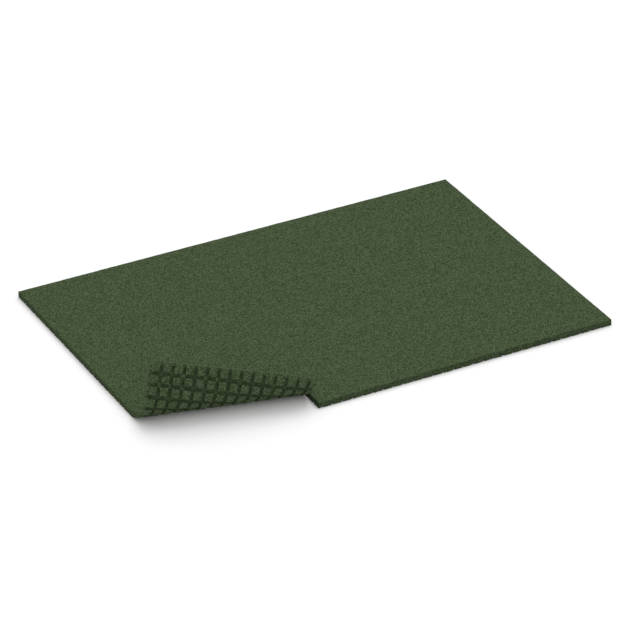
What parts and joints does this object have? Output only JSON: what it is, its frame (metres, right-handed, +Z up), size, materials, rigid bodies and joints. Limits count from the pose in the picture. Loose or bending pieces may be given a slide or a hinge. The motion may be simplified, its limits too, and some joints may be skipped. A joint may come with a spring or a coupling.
{
  "type": "rubber stall mat",
  "caption": "Thick granulate rubber floor mat with square drainage lugs underneath, one corner cut free and curled up to show them.",
  "frame": {"origin": "on the floor under the middle of the sheet", "axes": "+X along the long side, +Y along the short side away from the curled corner's front edge, +Z up out of the walking surface"},
  "size_m": [1.502, 1, 0.2081],
  "materials": {
    "granulate_rubber": "dull dark green bonded rubber granulate, open fine-grained surface with lighter and darker green grains, no gloss"
  },
  "bodies": {
    "root": {"stall_mat": "granulate_rubber"}
  },
  "joints": []
}
